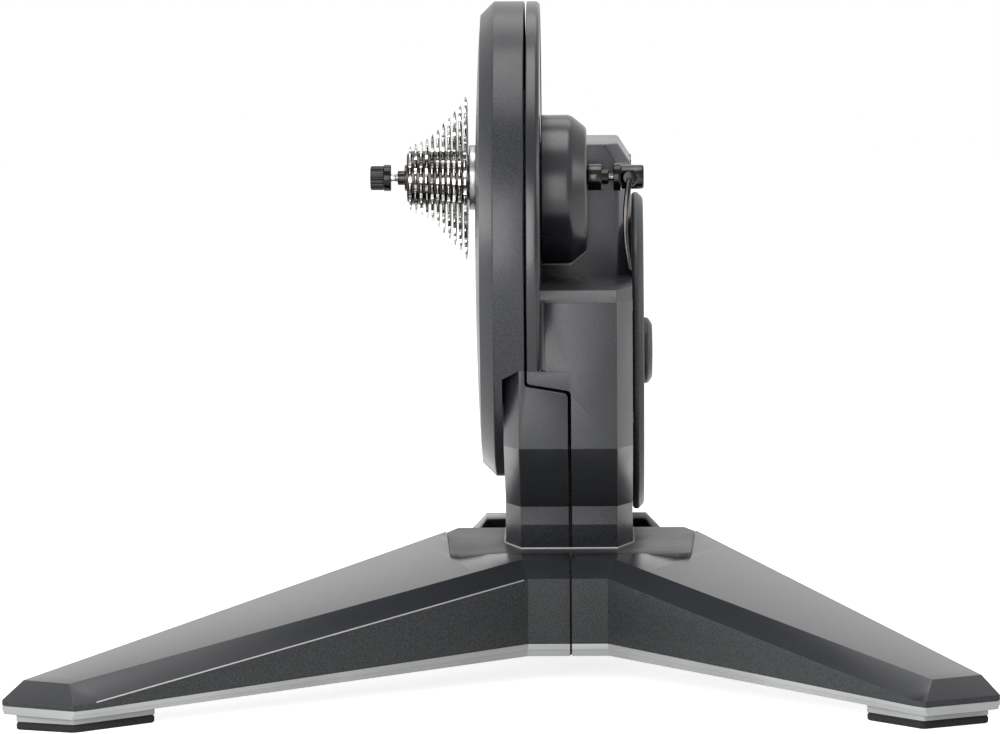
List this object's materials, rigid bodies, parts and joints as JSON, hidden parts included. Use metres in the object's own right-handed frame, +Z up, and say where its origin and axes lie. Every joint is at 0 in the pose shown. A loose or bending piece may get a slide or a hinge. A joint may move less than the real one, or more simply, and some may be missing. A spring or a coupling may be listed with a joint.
{
  "type": "direct drive bike trainer",
  "caption": "Folding bike trainer: a round belt housing and column on three legs, with a cassette and axle that take the place of the rear wheel.",
  "frame": {"origin": "on the floor, straight below the middle of the hub axle, on the bike's centre plane", "axes": "+X to the bike's left (flywheel side), +Y towards the bike's rear, +Z up"},
  "size_m": [0.65, 0.67, 0.46],
  "materials": {
    "charcoal_plastic": "satin, fine grain",
    "boss_plastic": "smooth satin",
    "leg_paint": "satin",
    "silver_casting": "satin silver",
    "rubber": "matte",
    "dark_casting": "cast",
    "flywheel_paint": "satin paint",
    "bright_steel": "nickel plated",
    "brushed_aluminium": "brushed",
    "black_chrome": "dark polished",
    "circuit_board": "lacquered"
  },
  "bodies": {
    "stand": {"chassis": "dark_casting", "drive_cover": "charcoal_plastic", "flywheel_side_cover": "charcoal_plastic", "axle_boss": "boss_plastic", "hinge_cover": "charcoal_plastic", "left_hinge_pin": "bright_steel", "right_hinge_pin": "bright_steel", "main_axle": "black_chrome", "axle_end_cap": "black_chrome", "axle_spacer": "black_chrome", "hub_bearing_1": "bright_steel", "hub_bearing_2": "bright_steel", "drive_belt": "rubber", "flywheel_bearing_1": "bright_steel", "flywheel_bearing_2": "bright_steel", "brake_stator": "dark_casting", "skewer_rod": "bright_steel", "cam_housing": "black_chrome", "rear_leg_cover": "leg_paint", "rear_leg_frame": "silver_casting", "rear_foot_block": "silver_casting", "rear_foot_pad": "rubber", "control_board": "circuit_board", "power_inlet": "boss_plastic"},
    "left_leg": {"left_leg_frame": "silver_casting", "left_leg_cover": "leg_paint", "left_foot_block": "silver_casting", "left_foot_pad": "rubber"},
    "right_leg": {"right_leg_frame": "silver_casting", "right_leg_cover": "leg_paint", "right_foot_block": "silver_casting", "right_foot_pad": "rubber"},
    "hub": {"hub_shell": "brushed_aluminium", "drive_pulley": "dark_casting"},
    "cassette": {"freehub_body": "black_chrome", "sprocket_28": "bright_steel", "sprocket_25": "bright_steel", "sprocket_23": "bright_steel", "sprocket_21": "bright_steel", "sprocket_19": "bright_steel", "sprocket_17": "bright_steel", "sprocket_15": "bright_steel", "sprocket_14": "bright_steel", "sprocket_13": "bright_steel", "sprocket_12": "bright_steel", "sprocket_11": "bright_steel", "cassette_lockring": "black_chrome"},
    "flywheel": {"flywheel": "flywheel_paint", "flywheel_shaft": "bright_steel", "motor_pulley": "bright_steel", "flywheel_hub_cap": "flywheel_paint", "brake_rotor": "dark_casting"},
    "skewer_nut": {"skewer_nut": "black_chrome"},
    "release_lever": {"release_lever": "black_chrome"}
  },
  "joints": [
    {"name": "left_leg_fold", "type": "hinge", "parent": "stand", "child": "left_leg", "pos_m": [-0.033, 0.05, 0.05], "axis": [0, 0, -1], "range_deg": [0, 115]},
    {"name": "right_leg_fold", "type": "hinge", "parent": "stand", "child": "right_leg", "pos_m": [0.123, 0.05, 0.05], "axis": [0, 0, 1], "range_deg": [0, 115]},
    {"name": "flywheel_spin", "type": "hinge", "parent": "stand", "child": "flywheel", "pos_m": [0.05, 0.095, 0.213], "axis": [1, 0, 0], "continuous": true},
    {"name": "hub_spin", "type": "hinge", "parent": "stand", "child": "hub", "pos_m": [0, 0, 0.34], "axis": [1, 0, 0], "continuous": true},
    {"name": "freewheel", "type": "hinge", "parent": "hub", "child": "cassette", "pos_m": [-0.045, 0, 0.34], "axis": [1, 0, 0], "continuous": true},
    {"name": "skewer_nut_turn", "type": "hinge", "parent": "stand", "child": "skewer_nut", "pos_m": [-0.084, 0, 0.34], "axis": [1, 0, 0], "continuous": true},
    {"name": "release_lever_flip", "type": "hinge", "parent": "stand", "child": "release_lever", "pos_m": [0.0865, 0, 0.34], "axis": [0, -1, 0], "range_deg": [0, 180]}
  ],
  "couplings": [
    {"joint": "hub_spin", "follows": "flywheel_spin", "ratio": 0.13333}
  ]
}
